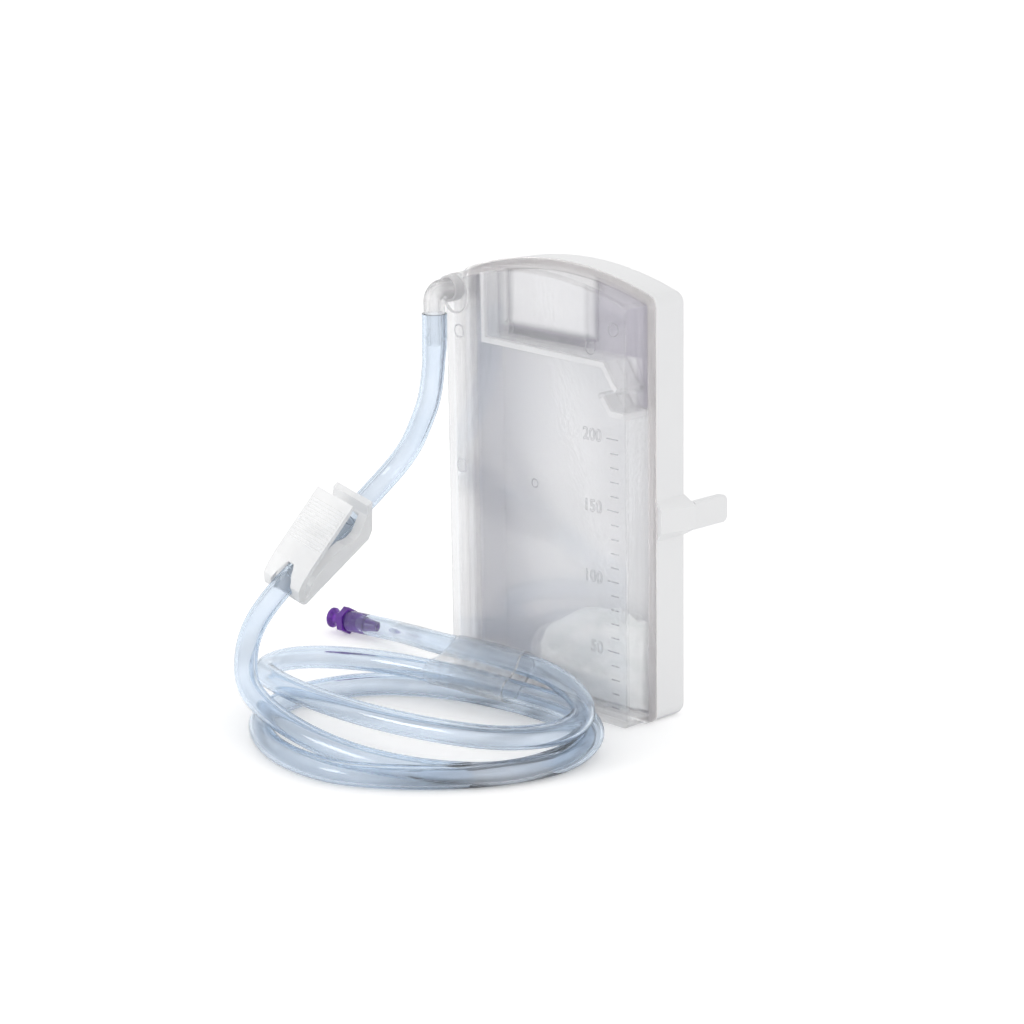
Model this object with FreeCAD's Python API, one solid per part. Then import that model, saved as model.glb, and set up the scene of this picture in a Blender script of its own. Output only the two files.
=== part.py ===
"""Slim suction canister: clear fluid shell, white rear shell, elbow inlet, tube with pinch clamp and luer.

Frame: millimetres, +X to the right along the front, +Y to the back, +Z up.
The origin is the centre of the canister's footprint, on the surface that it stands on.
"""
import FreeCAD, Part
import math
import os

V = FreeCAD.Vector

# Canister body
front_w = 90.0          # width of the clear front shell
side_h = 149.1          # height at which the arched top meets the sides
arch_rise = 7.6         # rise of the arched top over its ends
front_depth = 12.6      # front face to seam
rear_depth = 16.0       # seam to back
front_wall = 2.2
rear_wall = 2.0
front_lift = 0.6        # the clear shell's bottom clears the surface it stands on
front_corner_r = 2.6    # corners of the clear shell's outline
front_edge_r = 0.8      # edge around the front face
lip_out = 1.7           # how far the clear shell's lip stands out past its sides
lip_depth = 2.3
rear_out = 1.06         # how far the white shell stands out past the clear one
rear_corner_r = 4.5     # corners of the white shell's outline
rear_edge_r = 3.0       # edge around the back
gasket_t = 0.5
gasket_inset = 0.25     # the gasket's edge lies this far inside the lip
floor_z = 0.0

# Ribs of the air chamber and its labyrinth, as centre lines in X and Z
left = -front_w / 2
right = front_w / 2
rib_t = 2.6
hook_t = 2.4
chamber_rib = [
    (left + 18.1, side_h + 3.5),
    (left + 18.1, side_h - 20.8),
    (right - 12.6, side_h - 21.7),
    (right - 7.8, side_h - 28.3),
    (right - 5.6, side_h - 29.9),
]
hook_rib = [(right - 1.8, side_h - 38.2), (right - 9.1, side_h - 38.0), (right - 13.6, side_h - 32.5)]

# Scale on the front face
ml_step = 10
ml_top = 200
z_50_ml = 27.6
z_per_50_ml = 25.09
tick_right_x = 41.1
major_tick = 5.4
minor_tick = 3.6
tick_w = 0.45
tick_h = 0.25

# Inlet port and elbow
port_x = left + 6.7
port_z = side_h - 3.3
pad_r = 6.4
pad_t = 1.6
pad_low_z = port_z - 2.9
pad_high_z = port_z - 1.3
socket_r = 4.8
socket_len = 3.4
socket_gap = 0.08
elbow_r = 3.8
elbow_bore_r = 1.9
elbow_bend_r = 4.0
elbow_reach = 11.3      # front face to the axis of the downward leg
shoulder_z = port_z - 7.8
barb_len = 11.3
barb_core_r = 2.8
barb_ridge_r = 3.2
barb_ridge_len = 3.0

# Filter of the air chamber
carrier_t = 1.4
carrier_gap = 0.3
membrane_t = 0.4
membrane_w = 45.0
membrane_gap = 0.3      # to the chamber's rib
membrane_x = chamber_rib[0][0] + rib_t / 2 + membrane_gap + membrane_w / 2
membrane_low_z = side_h - 17.3         # from here up to the arched top
window_margin = 2.5
window_h = 11.0
window_bars = 3
window_bar_w = 1.6

# Outlet port on the back
outlet_x = 6.0
outlet_z = side_h - 10.1
outlet_boss_r = 7.5
outlet_boss_len = 7.0
outlet_bore_r = 3.0
outlet_seat_r = 5.6
outlet_seat_depth = 2.6
seal_gap = 0.1
seal_bore_r = 3.3
seal_t = 3.1

# Latches on the sides
latch_z = 72.9
latch_pod_front_y = -0.9
latch_pod_rear_y = 12.9
latch_pod_front_out = 2.2
latch_pod_rear_out = 5.6
latch_pod_face_h = 8.2
latch_pod_foot_h = 14.3
latch_pod_wall = 1.3
latch_pocket_h = 6.2
latch_pocket_front_y = 1.6
latch_pivot_out = 1.35  # pivot axis, outward of the white shell's side
latch_pivot_y = 3.4
latch_knuckle_r = 1.1
latch_pivot_gap = 0.1
latch_arm_t = 1.2
latch_arm_h = 5.6
latch_arm_rear_out = 3.1
latch_tab_gap = 0.5     # housing to tab
latch_tab_len = 16.5
latch_tab_t = 3.4
latch_tab_h = 9.8
latch_tab_inner_out = 1.35
latch_tab_r = 2.2
latch_tab_edge_r = 0.7

# Gel sachet on the fluid chamber's floor
sachet_w = 53.0
sachet_d = 19.0
sachet_h = 36.0
sachet_r = 7.0
sachet_clear = 0.3
sachet_side_gap = 2.0   # to the right wall
sachet_x = right - front_wall - sachet_side_gap - sachet_w / 2

# Tube
tube_r = 4.1
tube_bore_r = 2.9
clamp_in = V(-65.1, -38.3, 66.7)       # the tube's straight run through the clamp
clamp_out = V(-64.6, -74.3, 45.3)
pinch_from = 9.0                       # the stretch that the clamp squeezes, along that run
pinch_to = 39.0

# Coil, as the outer shape of its loose turns
coil_x = -7.6
coil_y = -72.9
coil_outer = (69.5, 50.8)
coil_inner = (43.0, 22.0)
coil_h = 17.5
coil_edge = 4.0

# Film band that holds the last turn to the coil
band_from = 0.28        # along the tail's first run
band_to = 0.43          # along its second run
band_t = 0.3
band_gap = 0.4

# Pinch clamp, in its own frame: X along the tube, Y across, Z towards the thumb leaf
clamp_roll = 22.8       # turn of the thumb leaf about the tube, towards +X
clamp_w = 16.4
clamp_bore_gap = 0.25
clamp_floor_t = 2.6
clamp_trough_gap = 0.5
clamp_upright = (4.6, 7.0)             # outer and inner face of the upper wall, at the tube's height
clamp_upright_lean = 0.2               # lean of that wall away from the middle
clamp_upright_top = 9.4
clamp_end = 44.6
clamp_hinge = (44.2, -2.6)
clamp_knuckle_r = 1.6
clamp_hinge_gap = 0.1
clamp_close_deg = 17.0
leaf_t = 2.4
leaf_slope = 0.375
leaf_end_x = 12.2
leaf_end_z = 16.9                      # outer corner of the thumb leaf's free end
leaf_bar_x = 24.0
leaf_bar_tip_z = 5.1
leaf_bar_t = 2.6
leaf_arch_r = 5.0       # arch over the tube at the hinge
ridge_count = 13
ridge_pitch = 1.25
ridge_first_x = 16.2
ridge_h = 0.4
ridge_margin = 0.9

# Luer connector, along its own axis from the tube's end
luer_flange_r = 5.4     # across the corners of its six sides
luer_flange_t = 2.6
luer_neck_r = 3.0
luer_waist_r = 2.45
luer_rim_at = 7.2
luer_len = 8.7
luer_rim_r = 3.9
luer_rim_edge = 0.4
luer_socket_r = 2.1
luer_socket_len = 7.0
luer_bore_r = 1.2
luer_barb_r = 3.15
luer_barb_step = 9.4
luer_barb_len = 15.0
luer_tip_r = 2.0
luer_ridge_r = 3.4

# Worked out from the sizes above
depth = front_depth + rear_depth
front_y = -depth / 2
seam_y = front_y + front_depth
rear_front_y = seam_y + gasket_t
back_y = depth / 2
apex_z = side_h + arch_rise
arch_r = ((front_w / 2) ** 2 + arch_rise ** 2) / (2 * arch_rise)
arch_z = apex_z - arch_r
rear_side = front_w / 2 + rear_out
leg_y = front_y - elbow_reach

tube_drop_points = [
    V(port_x, leg_y, shoulder_z),
    V(port_x, leg_y, 113.5),
    V(-50.0, -25.0, 91.6),
    V(-57.4, -26.1, 81.6),
    V(-62.5, -30.5, 74.0),
    V(-65.1, -37.4, 67.2),
    clamp_in + (clamp_out - clamp_in).normalize() * pinch_from,
]
tube_lead_points = [
    clamp_in + (clamp_out - clamp_in).normalize() * pinch_to,
    V(-64.5, -81.5, 41.0),
    V(-64.4, -92.8, 29.9),
    V(-55.8, -102.2, 19.0),
    V(-40.5, -108.2, 14.3),
]
tube_tail_points = [
    V(12.0, -30.0, 20.6),
    V(-13.0, -29.4, 19.7),
    V(-34.0, -28.0, 17.6),
    V(-59.5, -20.0, 13.6),
    V(-92.0, -3.4, 5.4),
    V(-112.6, -7.0, 5.4),
]


def box(x0, x1, y0, y1, z0, z1):
    return Part.makeBox(x1 - x0, y1 - y0, z1 - z0, V(x0, y0, z0))


def rod(radius, start, end):
    return Part.makeCylinder(radius, (end - start).Length, start, end - start)


def prism(points, along):
    """A closed outline of points, extruded along a vector."""
    return Part.Face(Part.makePolygon(points + points[:1])).extrude(along)


def outline(grow, base_z, y0, y1, corner_r):
    """The canister's outline with an arched top, grown sideways and upwards, from y0 to y1."""
    half = front_w / 2 + grow
    radius = arch_r + grow
    shoulder = arch_z + math.sqrt(radius ** 2 - half ** 2)
    low_left, low_right = V(-half, y0, base_z), V(half, y0, base_z)
    top_left, top_right = V(-half, y0, shoulder), V(half, y0, shoulder)
    arch = Part.Arc(top_right, V(0, y0, arch_z + radius), top_left).toShape()
    sides = [Part.makeLine(a, b) for a, b in
             ((low_left, low_right), (low_right, top_right), (top_left, low_left))]
    wire = Part.Wire([sides[0], sides[1], arch, sides[2]])
    solid = Part.Face(wire).extrude(V(0, y1 - y0, 0))
    if corner_r > 0:
        corners = [e for e in solid.Edges if abs(e.tangentAt(e.FirstParameter).y) > 0.99]
        solid = solid.makeFillet(corner_r, corners)
    return solid


def edges_at(solid, y):
    """Edges that lie wholly in the plane at y."""
    return [e for e in solid.Edges
            if abs(e.BoundBox.YMin - y) < 1e-4 and abs(e.BoundBox.YMax - y) < 1e-4]


def band(points, thickness, y0, y1):
    """A rib that follows a centre line in X and Z."""
    line = Part.makePolygon([V(x, y0, z) for x, z in points])
    face = line.makeOffset2D(thickness / 2, 0, True, False)
    solid = face if face.ShapeType == "Face" else Part.Face(face)
    return solid.extrude(V(0, y1 - y0, 0))


def scale_ticks():
    """Raised marks of the scale, longer at every 50 ml."""
    ticks = []
    for ml in range(ml_step, ml_top + 1, ml_step):
        z = z_50_ml + (ml - 50) / 50 * z_per_50_ml
        length = major_tick if ml % 50 == 0 else minor_tick
        ticks.append(box(tick_right_x - length, tick_right_x, front_y - tick_h, front_y + tick_h,
                         z - tick_w / 2, z + tick_w / 2))
    return ticks


def inlet_pad():
    """The rounded pad on the front face, with the socket that the elbow plugs into."""
    y0 = front_y - pad_t
    low = rod(pad_r, V(port_x, y0, pad_low_z), V(port_x, front_y, pad_low_z))
    high = rod(pad_r, V(port_x, y0, pad_high_z), V(port_x, front_y, pad_high_z))
    middle = box(port_x - pad_r, port_x + pad_r, y0, front_y, pad_low_z, pad_high_z)
    socket = rod(socket_r, V(port_x, y0 - socket_len, port_z), V(port_x, front_y, port_z))
    return low.fuse([high, middle, socket]).removeSplitter()


def front_shell():
    tray = outline(0, front_lift, front_y, seam_y, front_corner_r)
    tray = tray.makeFillet(front_edge_r, edges_at(tray, front_y))
    lip = outline(lip_out, floor_z, seam_y - lip_depth, seam_y, front_corner_r + lip_out)
    inner_r = max(front_corner_r - front_wall, 0.4)
    hollow = outline(-front_wall, front_lift + front_wall, front_y + front_wall, seam_y, inner_r)
    ribs = band(chamber_rib, rib_t, front_y + front_wall / 2, seam_y)
    hook = band(hook_rib, hook_t, front_y + front_wall / 2, seam_y)
    shell = tray.fuse(lip).cut(hollow)
    shell = shell.fuse([ribs, hook, inlet_pad()] + scale_ticks())
    spigot_seat = rod(elbow_r + socket_gap, V(port_x, front_y - pad_t - socket_len, port_z),
                      V(port_x, front_y, port_z))
    port = rod(elbow_bore_r, V(port_x, front_y, port_z), V(port_x, front_y + front_wall, port_z))
    return shell.cut(spigot_seat).cut(port).removeSplitter()


def seam_gasket():
    edge = lip_out - gasket_inset
    ring = outline(edge, floor_z, seam_y, rear_front_y, front_corner_r + edge)
    inner_r = max(front_corner_r - front_wall, 0.4)
    return ring.cut(outline(-front_wall, front_lift + front_wall, seam_y, rear_front_y, inner_r))


def latch_pod():
    """The raised housing of the right latch, flared to the rear."""
    def section(y, out):
        face, foot = latch_pod_face_h / 2, latch_pod_foot_h / 2
        root = rear_side - rear_wall / 2
        return Part.makePolygon([
            V(root, y, latch_z - foot), V(rear_side, y, latch_z - foot),
            V(rear_side + out, y, latch_z - face), V(rear_side + out, y, latch_z + face),
            V(rear_side, y, latch_z + foot), V(root, y, latch_z + foot), V(root, y, latch_z - foot)])
    return Part.makeLoft([section(latch_pod_front_y, latch_pod_front_out),
                          section(latch_pod_rear_y, latch_pod_rear_out)], True, True)


def latch_pocket():
    """The hollow of that housing, open to the rear."""
    def section(y):
        share = (y - latch_pod_front_y) / (latch_pod_rear_y - latch_pod_front_y)
        out = latch_pod_front_out + share * (latch_pod_rear_out - latch_pod_front_out) - latch_pod_wall
        half = latch_pocket_h / 2
        return Part.makePolygon([
            V(rear_side, y, latch_z - half), V(rear_side + out, y, latch_z - half),
            V(rear_side + out, y, latch_z + half), V(rear_side, y, latch_z + half),
            V(rear_side, y, latch_z - half)])
    hollow = Part.makeLoft([section(latch_pocket_front_y), section(latch_pod_rear_y + 1)], True, True)
    pivot = V(rear_side + latch_pivot_out, latch_pivot_y, latch_z - latch_pocket_h / 2)
    seat = rod(latch_knuckle_r + latch_pivot_gap, pivot, pivot + V(0, 0, latch_pocket_h))
    return hollow.fuse(seat)


def latch_right():
    """Sprung arm with a finger tab; its knuckle sits in the housing's seat."""
    half = latch_arm_h / 2
    pivot = V(rear_side + latch_pivot_out, latch_pivot_y, latch_z - half)
    tab_y = latch_pod_rear_y + latch_tab_gap
    knuckle = rod(latch_knuckle_r, pivot, pivot + V(0, 0, latch_arm_h))
    rear = V(rear_side + latch_arm_rear_out, tab_y + 1, latch_z - half)
    side = (rear - pivot).cross(V(0, 0, 1)).normalize() * latch_arm_t / 2
    arm = prism([pivot + side, rear + side, rear - side, pivot - side], V(0, 0, latch_arm_h))
    tab_x = rear_side + latch_tab_inner_out
    tab = box(tab_x, tab_x + latch_tab_t, tab_y, tab_y + latch_tab_len,
              latch_z - latch_tab_h / 2, latch_z + latch_tab_h / 2)
    rear_corners = [e for e in tab.Edges
                    if abs(e.tangentAt(0).x) > 0.99 and e.BoundBox.YMin > tab_y + 1]
    tab = tab.makeFillet(latch_tab_r, rear_corners)
    rims = [e for e in tab.Edges if e.BoundBox.YMax > tab_y + 1 and e.BoundBox.XLength < 1e-4]
    tab = tab.makeFillet(latch_tab_edge_r, rims)
    return tab.fuse([arm, knuckle]).removeSplitter()


def mirrored(solid):
    return solid.mirror(V(0, 0, 0), V(1, 0, 0))


def rear_shell():
    body = outline(rear_out, floor_z, rear_front_y, back_y, rear_corner_r)
    body = body.makeFillet(rear_edge_r, edges_at(body, back_y))
    hollow = outline(rear_out - rear_wall, floor_z + rear_wall, rear_front_y, back_y - rear_wall,
                     rear_corner_r - rear_wall)
    outlet = V(outlet_x, back_y - outlet_boss_len, outlet_z)
    boss = rod(outlet_boss_r, outlet, V(outlet_x, back_y - rear_wall / 2, outlet_z))
    ribs = band(chamber_rib[:3] + [rib_end()], rib_t, seam_y + carrier_t + carrier_gap, back_y - rear_wall / 2)
    pod, pocket = latch_pod(), latch_pocket()
    shell = body.cut(hollow).fuse([boss, ribs, pod, mirrored(pod)])
    seat = rod(outlet_seat_r, V(outlet_x, back_y - outlet_seat_depth, outlet_z), V(outlet_x, back_y, outlet_z))
    bore = rod(outlet_bore_r, outlet, V(outlet_x, back_y, outlet_z))
    return shell.cut([pocket, mirrored(pocket), seat, bore]).removeSplitter()


def rib_end():
    """Where the air chamber's lower rib runs into the right side wall."""
    return (front_w / 2 - front_wall / 2, chamber_rib[2][1])


def filter_carrier():
    """Plate that closes the air chamber and the channel beside the hook, with a barred window."""
    chamber_left, chamber_low = chamber_rib[1][0] - rib_t / 2, chamber_rib[2][1] - rib_t / 2
    channel_left, channel_low = chamber_rib[2][0], hook_rib[0][1]
    y0, y1 = seam_y, seam_y + carrier_t
    zone = box(chamber_left, front_w, y0, y1, chamber_low, 2 * side_h)
    channel = box(channel_left, front_w, y0, y1, channel_low, chamber_low)
    plate = outline(-front_wall - carrier_gap, 0, y0, y1, 0).common(zone.fuse(channel).removeSplitter())
    wide = (membrane_w - 2 * window_margin - window_bars * window_bar_w) / (window_bars + 1)
    for i in range(window_bars + 1):
        x0 = membrane_x - membrane_w / 2 + window_margin + i * (wide + window_bar_w)
        z0 = membrane_low_z + window_margin
        plate = plate.cut(box(x0, x0 + wide, y0, y1, z0, z0 + window_h))
    return plate


def filter_membrane():
    y0, y1 = seam_y - membrane_t, seam_y
    sheet = box(membrane_x - membrane_w / 2, membrane_x + membrane_w / 2, y0, y1, membrane_low_z, 2 * side_h)
    return sheet.common(outline(-front_wall - carrier_gap, 0, y0, y1, 0))


def outlet_seal():
    start = V(outlet_x, back_y - outlet_seat_depth, outlet_z)
    end = start + V(0, seal_t, 0)
    return rod(outlet_seat_r - seal_gap, start, end).cut(rod(seal_bore_r, start, end))


def gel_sachet():
    low = front_lift + front_wall + sachet_clear
    middle_y = (front_y + front_wall + back_y - rear_wall) / 2
    pouch = box(sachet_x - sachet_w / 2, sachet_x + sachet_w / 2, middle_y - sachet_d / 2,
                middle_y + sachet_d / 2, low, low + sachet_h)
    return pouch.makeFillet(sachet_r, [e for e in pouch.Edges if e.BoundBox.XLength > 1])


def elbow_path(radius):
    """Barrel, bend and leg of the elbow, at one radius."""
    bend_y = leg_y + elbow_bend_r
    top = V(port_x, bend_y, port_z)
    start = Part.Face(Part.Wire(Part.makeCircle(radius, top, V(0, 1, 0))))
    axis = V(port_x, bend_y, port_z - elbow_bend_r)
    bend = start.revolve(axis, V(1, 0, 0), 90)
    barrel = rod(radius, V(port_x, front_y, port_z), top)
    leg = rod(radius, V(port_x, leg_y, port_z - elbow_bend_r), V(port_x, leg_y, shoulder_z))
    return barrel.fuse([bend, leg])


def inlet_elbow():
    tip_z = shoulder_z - barb_len
    core = rod(barb_core_r, V(port_x, leg_y, shoulder_z), V(port_x, leg_y, tip_z))
    ridge = Part.makeCone(barb_core_r, barb_ridge_r, barb_ridge_len, V(port_x, leg_y, tip_z), V(0, 0, 1))
    bore = elbow_path(elbow_bore_r)
    end = rod(elbow_bore_r, V(port_x, leg_y, shoulder_z), V(port_x, leg_y, tip_z))
    return elbow_path(elbow_r).fuse([core, ridge]).cut(bore.fuse(end)).removeSplitter()


def rod_along(points, radius):
    """A round rod along straight runs through the points, joined by tangent arcs as large as the runs allow."""
    stretches, bends, length, start = [], [], 0.0, points[0]
    for before, corner, after in zip(points, points[1:], points[2:]):
        back, ahead = before - corner, after - corner
        half_turn = (math.pi - back.getAngle(ahead)) / 2
        reach = 0.45 * min(back.Length, ahead.Length)
        bend_r = reach / math.tan(half_turn)
        back.normalize()
        ahead.normalize()
        arc_in = corner + back * reach
        centre = corner + (back + ahead).normalize() * (bend_r / math.cos(half_turn))
        section = Part.Face(Part.Wire(Part.makeCircle(radius, arc_in, back)))
        stretches.append(rod(radius, start, arc_in))
        stretches.append(section.revolve(centre, ahead.cross(back), math.degrees(2 * half_turn)))
        length += (arc_in - start).Length + bend_r * 2 * half_turn
        bends.append(bend_r)
        start = corner + ahead * reach
    stretches.append(rod(radius, start, points[-1]))
    length += (points[-1] - start).Length
    return stretches[0].fuse(stretches[1:]), bends, length


def tube(name, points):
    """A length of tube with its bore."""
    outer, bends, length = rod_along(points, tube_r)
    solid = outer.cut(rod_along(points, tube_bore_r)[0])
    section = math.pi * (tube_r ** 2 - tube_bore_r ** 2)
    print(name, "length", round(length, 1), "radii", [round(r, 1) for r in bends],
          "volume", round(solid.Volume), "section x length", round(section * length))
    return solid


def oval(long_r, short_r):
    """An oval of four arcs about the coil's centre."""
    diagonal = math.hypot(long_r, short_r)
    end_r = (diagonal ** 2 - (long_r - short_r) * diagonal) / (2 * long_r)
    side_r = (diagonal ** 2 + (long_r - short_r) * diagonal) / (2 * short_r)
    end_x, side_y = long_r - end_r, side_r - short_r
    joint_x = end_x * side_r / math.hypot(end_x, side_y)
    joint_y = side_y * side_r / math.hypot(end_x, side_y) - side_y
    centre = V(coil_x, coil_y, floor_z)
    joints = [centre + V(x, y, 0) for x, y in ((joint_x, joint_y), (-joint_x, joint_y),
                                               (-joint_x, -joint_y), (joint_x, -joint_y))]
    middles = [centre + V(x, y, 0) for x, y in ((0, short_r), (-long_r, 0), (0, -short_r), (long_r, 0))]
    arcs = [Part.Arc(joints[i], middles[i], joints[(i + 1) % 4]).toShape() for i in range(4)]
    return Part.Face(Part.Wire(arcs))


def coil():
    """The outer shape of the loose turns that lie on the floor."""
    outer, inner = [oval(*radii).extrude(V(0, 0, coil_h)) for radii in (coil_outer, coil_inner)]
    ring = outer.cut(inner)
    rims = [e for e in ring.Edges if e.BoundBox.ZLength < 1e-4]
    return ring.makeChamfer(coil_edge, rims)


def coil_band():
    """Film over the tail, down to the coil on both sides."""
    near, middle, far = tube_tail_points[:3]
    start = near + (middle - near) * band_from
    end = middle + (far - middle) * band_to
    ring = rod(tube_r + band_gap + band_t, start, end).cut(rod(tube_r + band_gap, start, end))
    under = box(end.x - tube_r, start.x + tube_r, 2 * coil_y, 0, floor_z, coil_h)
    return ring.cut(under)


def clamp_placement():
    """The clamp's frame: X down the tube, Z towards the thumb leaf."""
    along = (clamp_out - clamp_in).normalize()
    up = V(0, 0, 1) - along * along.z
    up = FreeCAD.Rotation(along, -clamp_roll).multVec(up.normalize())
    return FreeCAD.Placement(clamp_in, FreeCAD.Rotation(along, up.cross(along), up, "XYZ"))


def side_profile(points, half_width):
    """A side view in the clamp's X and Z, extruded across it."""
    return prism([V(x, -half_width, z) for x, z in points], V(0, 2 * half_width, 0))


def clamp_rod(radius, x, z, half_width):
    return rod(radius, V(x, -half_width, z), V(x, half_width, z))


def clamp_body_local():
    half = clamp_w / 2
    trough = tube_r + clamp_trough_gap
    low = -tube_r - clamp_bore_gap - clamp_floor_t
    outer, inner = clamp_upright
    top_shift = clamp_upright_lean * clamp_upright_top
    walls = side_profile([
        (outer + 3.4, low), (clamp_end - 1.6, low), (clamp_end, low + 1.6), (clamp_end, -tube_r),
        (clamp_hinge[0] - 3.2, -tube_r), (39.0, -1.0), (36.0, 0.9), (29.5, 1.8), (23.0, 2.5),
        (19.8, 2.1), (17.4, 0.5), (14.6, -0.7), (12.2, -0.2), (inner + 2.4, 2.4),
        (inner - 0.3 * top_shift, tube_r + 1), (inner - top_shift, clamp_upright_top),
        (outer - top_shift, clamp_upright_top), (outer, 0.0), (outer + 1.0, low + 2.6)], half)
    channel = box(inner, clamp_end + 1, -trough, trough, low + clamp_floor_t, clamp_upright_top)
    bore = rod(tube_r + clamp_bore_gap, V(0, 0, 0), V(clamp_end + 1, 0, 0))
    seat = clamp_rod(clamp_knuckle_r + clamp_hinge_gap, *clamp_hinge, half)
    return walls.cut([channel, bore, seat]).removeSplitter()


def leaf_outer_z(x):
    return leaf_end_z - leaf_slope * (x - leaf_end_x)


def clamp_leaf_local():
    """Thumb leaf with its ridges, pinch bar and the cheeks that straddle the tube."""
    half = clamp_w / 2
    drop = leaf_t * math.sqrt(1 + leaf_slope ** 2)
    hinge_x, hinge_z = clamp_hinge
    leaf = side_profile([
        (leaf_end_x, leaf_outer_z(leaf_end_x)), (38.0, leaf_outer_z(38.0)), (42.6, 4.9), (45.2, 2.6),
        (hinge_x + clamp_knuckle_r, hinge_z), (hinge_x, hinge_z), (hinge_x - clamp_knuckle_r, hinge_z),
        (42.4, 0.6), (38.6, leaf_outer_z(38.6) - drop),
        (leaf_end_x + 0.9, leaf_outer_z(leaf_end_x + 0.9) - drop)], half)
    knuckle = clamp_rod(clamp_knuckle_r, hinge_x, hinge_z, half)
    bar_half = tube_r + clamp_trough_gap - 0.3
    bar_x0, bar_x1 = leaf_bar_x - leaf_bar_t / 2, leaf_bar_x + leaf_bar_t / 2
    bar = side_profile([
        (bar_x0 - 1, leaf_outer_z(bar_x0 - 1) - drop / 2), (bar_x0, leaf_bar_tip_z + 1), (bar_x0 + 0.8, leaf_bar_tip_z),
        (bar_x1 - 0.8, leaf_bar_tip_z), (bar_x1, leaf_bar_tip_z + 1), (bar_x1 + 1, leaf_outer_z(bar_x1 + 1) - drop / 2)],
        bar_half)
    ridges = [clamp_rod(ridge_h, ridge_first_x + i * ridge_pitch,
                        leaf_outer_z(ridge_first_x + i * ridge_pitch), half - ridge_margin)
              for i in range(ridge_count)]
    tunnel = rod(leaf_arch_r, V(hinge_x - 8, 0, 0), V(hinge_x + 4, 0, 0))
    under = box(hinge_x - 8, hinge_x + 4, -leaf_arch_r, leaf_arch_r, hinge_z - 2 * clamp_knuckle_r, 0)
    opening = tunnel.fuse(under)
    closed = opening.copy()
    closed.rotate(V(hinge_x, 0, hinge_z), V(0, 1, 0), clamp_close_deg)
    return leaf.fuse([knuckle, bar] + ridges).cut([opening, closed]).removeSplitter()


def turned(points):
    """A profile of X and radius, turned about the X axis."""
    outline_points = [V(x, 0, radius) for x, radius in points]
    return Part.Face(Part.makePolygon(outline_points + outline_points[:1])).revolve(V(0, 0, 0), V(1, 0, 0), 360)


def placed(solid, placement):
    moved = solid.copy()
    moved.Placement = placement.multiply(moved.Placement)
    return moved


def luer_connector():
    """Female luer with a round rim, six-sided flange and a stepped barb."""
    end, before = tube_tail_points[-1], tube_tail_points[-2]
    x = V(1, 0, 0)
    corners = [V(0, luer_flange_r * math.cos(math.radians(60 * i + 30)),
                 luer_flange_r * math.sin(math.radians(60 * i + 30))) for i in range(6)]
    flange = prism(corners, V(luer_flange_t, 0, 0))
    neck = turned([
        (0, 0), (0, luer_neck_r), (luer_flange_t + 0.6, luer_neck_r), (luer_flange_t + 2.0, luer_waist_r),
        (luer_rim_at - 0.9, luer_waist_r), (luer_rim_at, luer_rim_r - luer_rim_edge),
        (luer_rim_at + luer_rim_edge, luer_rim_r), (luer_len - luer_rim_edge, luer_rim_r),
        (luer_len, luer_rim_r - luer_rim_edge), (luer_len, 0)])
    barb = turned([
        (0, 0), (0, luer_barb_r), (0.8 - luer_barb_step, luer_barb_r), (0.4 - luer_barb_step, luer_ridge_r),
        (-luer_barb_step, luer_ridge_r), (-luer_barb_step - 0.3, tube_bore_r - 0.3),
        (-luer_barb_len, luer_tip_r), (-luer_barb_len, 0)])
    socket = rod(luer_socket_r, V(luer_len - luer_socket_len, 0, 0), V(luer_len, 0, 0))
    bore = rod(luer_bore_r, V(-luer_barb_len, 0, 0), V(luer_len, 0, 0))
    solid = flange.fuse([neck, barb]).cut([socket, bore]).removeSplitter()
    out = (end - before).normalize()
    return placed(solid, FreeCAD.Placement(end, FreeCAD.Rotation(x, out)))


def build():
    clamp = clamp_placement()
    right = latch_right()
    pinch = [tube_drop_points[-1], tube_lead_points[0]]
    return {
        "front_shell": front_shell(),
        "rear_shell": rear_shell(),
        "seam_gasket": seam_gasket(),
        "filter_carrier": filter_carrier(),
        "filter_membrane": filter_membrane(),
        "outlet_seal": outlet_seal(),
        "gel_sachet": gel_sachet(),
        "inlet_elbow": inlet_elbow(),
        "latch_right": right,
        "latch_left": mirrored(right),
        "tube_drop": tube("tube_drop", tube_drop_points),
        "tube_pinch": rod(tube_r, *pinch).cut(rod(tube_bore_r, *pinch)),
        "tube_lead": tube("tube_lead", tube_lead_points),
        "tube_coil": coil(),
        "tube_tail": tube("tube_tail", tube_tail_points),
        "coil_band": coil_band(),
        "clamp_body": placed(clamp_body_local(), clamp),
        "clamp_leaf": placed(clamp_leaf_local(), clamp),
        "luer_connector": luer_connector(),
    }


def main():
    os.makedirs("parts", exist_ok=True)
    clamp = clamp_placement()
    hinge = clamp.multVec(V(clamp_hinge[0], 0, clamp_hinge[1]))
    across = clamp.Rotation.multVec(V(0, 1, 0))
    print("clamp hinge", hinge, "axis", across)
    for name, shape in build().items():
        if len(shape.Solids) == 1:
            shape = shape.Solids[0]
        print(name, shape.ShapeType, len(shape.Solids), shape.isValid(), round(shape.Volume),
              [round(v, 1) for v in (shape.BoundBox.XMin, shape.BoundBox.XMax, shape.BoundBox.YMin,
                                     shape.BoundBox.YMax, shape.BoundBox.ZMin, shape.BoundBox.ZMax)])
        shape.exportStep(f"parts/{name}.step")


main()
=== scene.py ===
"""Looks of the suction canister: finishes, tube, film, sachet, scale digits, light and camera. Metres."""
import math

import bmesh
import bpy
from mathutils import Matrix, Vector, noise


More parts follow.
